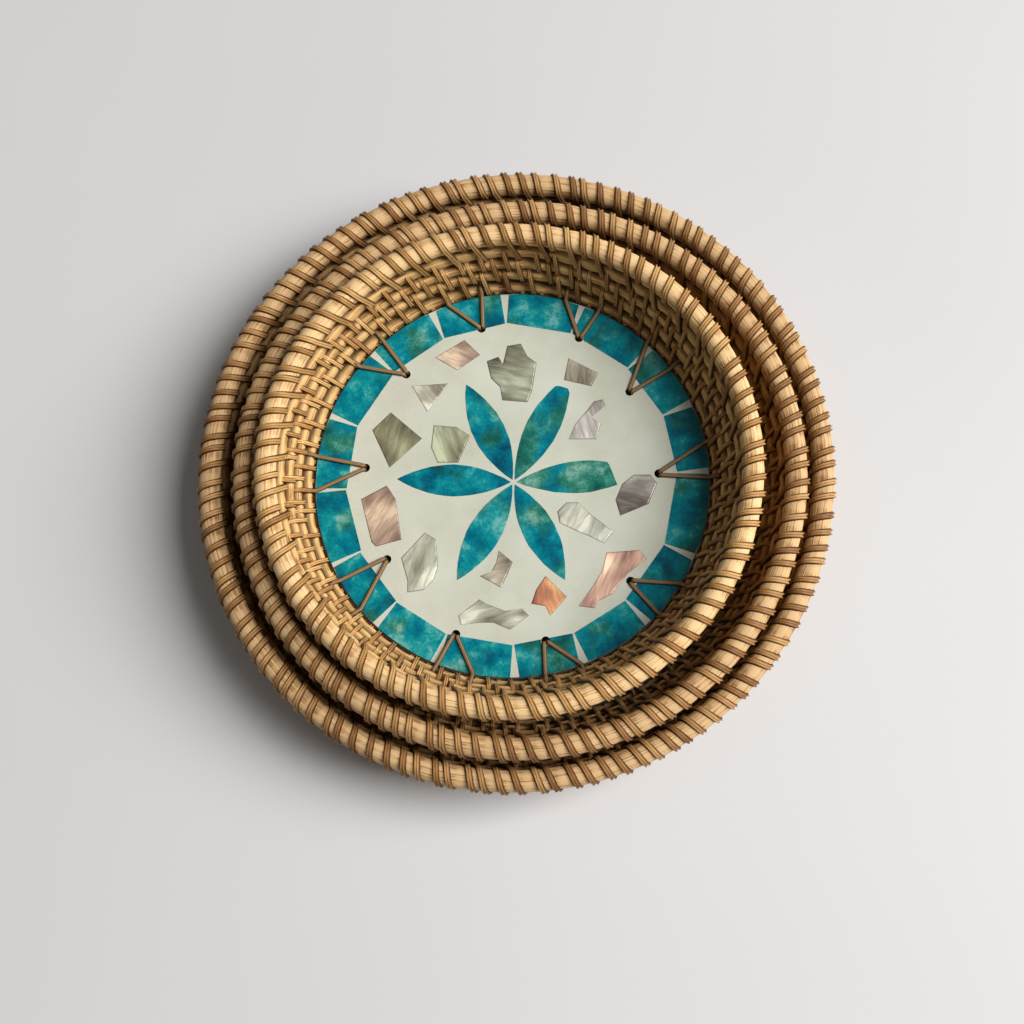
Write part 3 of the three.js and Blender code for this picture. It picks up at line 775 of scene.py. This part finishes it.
spots = put(tree, "GeometryNodePoints", Count=size["Count"]).outputs[0]
number = put(tree, "GeometryNodeInputIndex").outputs[0]
slip = times(tree, chance_of(-1.0, 1.0, 1), size["Sway"])
share = sums(tree, "ADD", sums(tree, "ADD", number, size["Phase"]), slip)
angle = sums(tree, "DIVIDE", times(tree, share, math.tau), size["Count"])
swell = sums(tree, "MULTIPLY_ADD", chance_of(-1.0, 1.0, 2), size["Swell"], 1.0)
placing = {"Rotation": xyz(tree, z=angle), "Scale": xyz(tree, swell, swell, 1.0)}
sewn = put(tree, "GeometryNodeInstanceOnPoints", Points=spots, Instance=size["Stitch"], **placing).outputs[0]
sewn = stored(tree, sewn, "tone", "FLOAT", chance_of(0.0, 1.0, 3), "INSTANCE")
sewn = step(tree, "RealizeInstances", sewn)
sewn = step(tree, "SetPosition", sewn, Offset=size["Centre"])
sewn = step(tree, "SetShadeSmooth", sewn)
tree.links.new(step(tree, "SetMaterial", sewn, Material=size["Finish"]), out)

TWIN_STRANDS = [(-0.5, -0.15), (-0.26, 1.0), (0.0, 0.2), (0.26, 1.0), (0.5, -0.15)]
STITCH_WIDTH, PEEL_THICK, STITCH_SLANT = 0.0025, 0.0011, 0.0016
PIERCED, TABLE_GAP = 0.0006, 0.00004
FIBRE_RUN = 300


def with_values(mesh, **lists):
    for name, values in lists.items():
        mesh.attributes.new(name, "FLOAT", "POINT").data.foreach_set("value", values)
    shape = bmesh.new()
    shape.from_mesh(mesh)
    bmesh.ops.recalc_face_normals(shape, faces=shape.faces)
    shape.to_mesh(mesh)
    shape.free()
    return mesh


def stitch(canes, width, slant, steps, begin, end, lowest=-1.0):
    """A stitch round one or two canes, each (radius, height, half thickness). It slants from begin to end."""
    ways, spots, run = [], [], [0.0]
    for k in range(steps):
        a = math.radians(begin) + math.tau * k / steps
        way = Vector((math.cos(a), math.sin(a)))
        cane = max(canes, key=lambda c: Vector((c[0], c[1])).dot(way) + c[2])
        ways.append(way)
        spots.append(Vector((cane[0], cane[1])) + way * cane[2])
    for before, after in zip(spots, spots[1:] + spots[:1]):
        run.append(run[-1] + (after - before).length)
    turned = run[round(steps * (end - begin) / 360)]
    verts, faces, across, along = [], [], [], []
    for way, spot, gone in zip(ways, spots, run):
        lean = slant * (1 - 2 * gone / turned)
        if gone > turned:
            lean = slant * (2 * (gone - turned) / (run[-1] - turned) - 1)
        for u, v in TWIN_STRANDS:
            edge = spot + way * v * PEEL_THICK
            turn = (lean + u * width) / spot.x
            verts.append((edge.x * math.cos(turn), edge.x * math.sin(turn), max(edge.y, lowest)))
            across.append(u)
            along.append(gone * FIBRE_RUN)
    count = len(TWIN_STRANDS)
    for k in range(steps):
        here, ahead = k * count, (k + 1) % steps * count
        for j in range(count):
            after = (j + 1) % count
            faces.append((here + j, here + after, ahead + after, ahead + j))
    mesh = bpy.data.meshes.new("stitch")
    mesh.from_pydata(verts, [], faces)
    return with_values(mesh, across=across, along=along)


def peel_finish(name, pale, mid, deep, painted_shade_colour, split):
    finish, tree, shader = finish_of(name)
    tone, across = marked(tree, "tone"), marked(tree, "across")
    spot = xyz(tree, times(tree, across, 9), marked(tree, "along"), times(tree, tone, 90))
    fibre = noise(tree, spot, 1.3, 4.0, Roughness=0.6)
    worn = sums(tree, "MULTIPLY_ADD", tone, 0.42, times(tree, fibre, 0.62))
    colour = shades(tree, worn, [(0.2, deep), (0.5, mid), (0.8, pale)])
    # Painted shade: the flanks of each strand and the seam between twin strands are drawn darker.
    edge = sums(tree, "ABSOLUTE", across)
    side = ranged(tree, edge, From_Min=0.2, From_Max=0.38)
    seam = ranged(tree, edge, From_Min=0.1, From_Max=0.01)
    shade = sums(tree, "MAXIMUM", side, times(tree, seam, split))
    colour = mixed_colour(tree, times(tree, shade, 0.92), colour, (*painted_shade_colour, 1))
    polish = ranged(tree, fibre, To_Min=0.34, To_Max=0.58)
    rise = raised(tree, fibre, 0.4, 0.0003)
    feed(tree, shader, Base_Color=colour, Roughness=polish, Normal=rise, Specular_IOR_Level=0.2)
    return finish


def joined(name, pieces):
    shape = bmesh.new()
    for piece in pieces:
        shape.from_mesh(piece.data)
    first = pieces[0]
    shape.to_mesh(first.data)
    shape.free()
    for piece in pieces[1:]:
        bpy.data.objects.remove(piece)
    first.name = name
    first.data.name = name
    return first


straw_peel = peel_finish(
    "straw_peel", (0.92, 0.56, 0.215), (0.67, 0.35, 0.115), (0.3, 0.13, 0.037), (0.05, 0.018, 0.006), 0.7,
)
tan_peel = peel_finish(
    "tan_peel", (0.69, 0.41, 0.155), (0.49, 0.25, 0.083), (0.21, 0.09, 0.027), (0.04, 0.015, 0.005), 0.7,
)
# The medium and large trays' stitches are darker too, partly a browner tone and partly painted shade.
for tray in trays:
    canes = [(row.x, row.y, ROW_CANE / 2) for row in tray.rows]
    foot = (tray.foot.x, tray.foot.y, FOOT_CANE / 2)
    pierced = (tray.rows[0].x, tray.rows[0].y, PIERCED)
    sets = []
    for i, pair in enumerate([(foot, pierced)] + list(zip(canes, canes[1:]))):
        mesh = stitch(pair, STITCH_WIDTH, STITCH_SLANT, steps=16, begin=80, end=280, lowest=TABLE_GAP)
        sets.append(grown(
            "stitches", mesh, stitch_tree, Count=tray.ties, Phase=0.5 * (i % 2), Sway=0.16, Swell=0.002,
            Seed=10 * i + 5, Centre=tray.centre, Finish=straw_peel if tray is small else tan_peel,
        ))
    sewing = joined(tray.name + "_row_stitching", sets)
    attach(sewing, tray.body)

# Base lacing.
# One thin split cane per tray holds the base to the wall.
# It comes up a hole, goes out over the tiles into the slit above the lowest row and back.
LACE_WIDE, LACE_BEND, LACE_BEND_STEPS, LACE_SIDES = 0.0019, 0.0011, 3, 8
LEG_TURNS = (-2, 8.5)
LANE_GAP, LANE_SHARE = 0.0005, 0.8
SHOULDER_ROOM, HOLE_LEAN, LEG_DIP = 1.12, 0.0006, 0.0004
LACE_FIBRE_RUN, LACE_FIBRE_ROUND = 150, 0.42
BEND_SHARE, LEVEL_ENOUGH = 0.45, 0.5


def lacing_route(tray):
    row = tray.rows[0]
    reach = ROW_CANE / 2 + CLEARANCE + LACING / 2
    clear = reach * SHOULDER_ROOM
    lean = math.pi / 2 - WALL_LEAN
    shoulder = lean + math.pi / 4
    low = tray.board_z - CLEARANCE - LACING / 2
    lane = (LACING + LANE_GAP) / 2 * LANE_SHARE

    def on_ring(r, a, z):
        return Vector((r * math.cos(a), r * math.sin(a), z))

    def round_row(distance, way, a):
        return on_ring(row.x + distance * math.cos(way), a, row.y + distance * math.sin(way))

    def in_hole(a, inset, offset, z):
        r = tray.board_radius - inset + HOLE_LEAN
        return on_ring(r, a, z) + Vector((-offset * math.sin(a), offset * math.cos(a), 0))

    points = []
    drop = tray.leg_z - row.y
    side = row.x - math.sqrt(clear * clear - drop * drop)
    for hole, inset in tray.holes:
        a = math.radians(hole)
        legs = [a + math.radians(turn) for turn in LEG_TURNS]
        up, down = [
            [
                in_hole(a, inset, offset, low), in_hole(a, inset, offset, tray.leg_z - LEG_DIP),
                on_ring(side, leg, tray.leg_z), round_row(clear, shoulder, leg), round_row(reach, lean, leg),
            ]
            for leg, offset in zip(legs, (-lane, lane))
        ]
        points += up + [round_row(reach, lean, sum(legs) / 2)] + list(reversed(down))
    tail = points[0] - points[-1]
    stub = tail.normalized() * (tail.length / 2 - LACING * 2)
    return [points[0] - stub] + points + [points[-1] + stub]


def softened(points, bend, steps):
    route = [points[0]]
    for before, here, after in zip(points, points[1:], points[2:]):
        back, on = before - here, after - here
        start = here + back.normalized() * min(bend, back.length * BEND_SHARE)
        end = here + on.normalized() * min(bend, on.length * BEND_SHARE)
        for k in range(steps + 1):
            t = k / steps
            route.append(start * (1 - t) ** 2 + here * 2 * t * (1 - t) + end * t ** 2)
    return route + [points[-1]]


def strand(route, sides, name, centre):
    verts, faces, around, along = [], [], [], []
    across = None
    run = 0.0
    for i, spot in enumerate(route):
        way = (route[min(i + 1, len(route) - 1)] - route[max(i - 1, 0)]).normalized()
        level = way.cross(Vector((0, 0, 1)))
        if across is None:
            across = level.normalized()
        if level.length > LEVEL_ENOUGH:
            across = level if level.dot(across) > 0 else -level
        across = (across - way * across.dot(way)).normalized()
        up = across.cross(way)
        run += (spot - route[i - 1]).length if i else 0
        for k in range(sides):
            a = math.tau * k / sides
            out_side, out_up = LACE_WIDE / 2 * math.cos(a), LACING / 2 * math.sin(a)
            verts.append(spot + across * out_side + up * out_up + centre)
            around.append(math.cos(a) * LACE_FIBRE_ROUND)
            along.append(run * LACE_FIBRE_RUN)
    for i in range(len(route) - 1):
        for k in range(sides):
            a, b = i * sides + k, i * sides + (k + 1) % sides
            faces.append((a, b, b + sides, a + sides))
    faces += [tuple(range(sides)), tuple(len(verts) - 1 - k for k in range(sides))]
    mesh = bpy.data.meshes.new(name)
    mesh.from_pydata(verts, [], faces)
    with_values(mesh, across=around, along=along, tone=[0.5] * len(verts))
    mesh.polygons.foreach_set("use_smooth", [True] * len(mesh.polygons))
    return mesh


lacing_peel = peel_finish(
    "lacing_peel", (0.45, 0.3, 0.15), (0.3, 0.182, 0.082), (0.14, 0.076, 0.032), (0.035, 0.015, 0.007), 0.5,
)
for tray in trays:
    route = softened(lacing_route(tray), LACE_BEND, LACE_BEND_STEPS)
    name = tray.name + "_split_cane_lacing"
    lace = laid(name, strand(route, LACE_SIDES, name, tray.centre), lacing_peel)
    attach(lace, tray.body)
    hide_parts(tray.name + "_base_lacing")

# Rim canes.
# A thick grained cane crowns each wall, straw-coloured on the small tray; on the others it is darker, partly
# a tan tone and partly painted shade.
# It swells a little between the turns of its binding.
pale_rim = cane_finish("pale_rim", (0.91, 0.625, 0.32), (0.69, 0.41, 0.17), (0.3, 0.13, 0.038))
tan_rim = cane_finish("tan_rim", (0.73, 0.485, 0.245), (0.5, 0.285, 0.118), (0.2, 0.085, 0.026))
for tray in trays:
    rim = grown(
        tray.name + "_thick_rim", bpy.data.meshes.new("rim"), coil_tree, Radius=tray.rim.x,
        Height=tray.rim.y, Half_Width=RIM_CANE / 2, Half_Height=RIM_CANE / 2, Squareness=0.96,
        Steps=tray.turns * 6 + 1, Sides=21, Ties=tray.turns, Tie_Depth=0.0001, Slant=0.0, Wander=0.0007,
        Lowest=-1.0, Seed=40.0, Crease=0.0, Centre=tray.centre, Finish=pale_rim if tray is small else tan_rim,
    )
    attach(rim, tray.body)
    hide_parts(tray.name + "_rim_cane")

# Rim binding.
# Brown peel, two strands side by side, is wound round the rim cane on a slant, paler on the small tray: the
# others' darker peel is partly painted shade.
# Every second turn also goes down round the top wall row and ties the rim on.
BINDING_WIDTH, BINDING_SLANT, BINDING_GAP = 0.0032, 0.0037, 0.0001
pale_binding = peel_finish(
    "pale_binding", (0.86, 0.53, 0.2), (0.6, 0.32, 0.1), (0.28, 0.12, 0.034), (0.045, 0.017, 0.006), 0.7,
)
tan_binding = peel_finish(
    "tan_binding", (0.72, 0.42, 0.165), (0.46, 0.23, 0.076), (0.2, 0.084, 0.026), (0.04, 0.015, 0.005), 0.7,
)
for tray in trays:
    rim = (tray.rim.x, tray.rim.y, RIM_CANE / 2 + BINDING_GAP)
    top = (tray.rows[-1].x, tray.rows[-1].y, ROW_CANE / 2)
    short = stitch([rim], BINDING_WIDTH, BINDING_SLANT, steps=16, begin=-80, end=215)
    deep = stitch([rim, top], BINDING_WIDTH, 2 * BINDING_SLANT, steps=20, begin=-80, end=255)
    sets = []
    for i, mesh in enumerate((short, deep)):
        sets.append(grown(
            "turns", mesh, stitch_tree, Count=tray.turns // 2, Phase=0.46 * i, Sway=0.1, Swell=0.001,
            Seed=70 + 10 * i, Centre=tray.centre, Finish=pale_binding if tray is small else tan_binding,
        ))
    binding = joined(tray.name + "_wound_binding", sets)
    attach(binding, tray.body)
    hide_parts(tray.name + "_rim_binding")
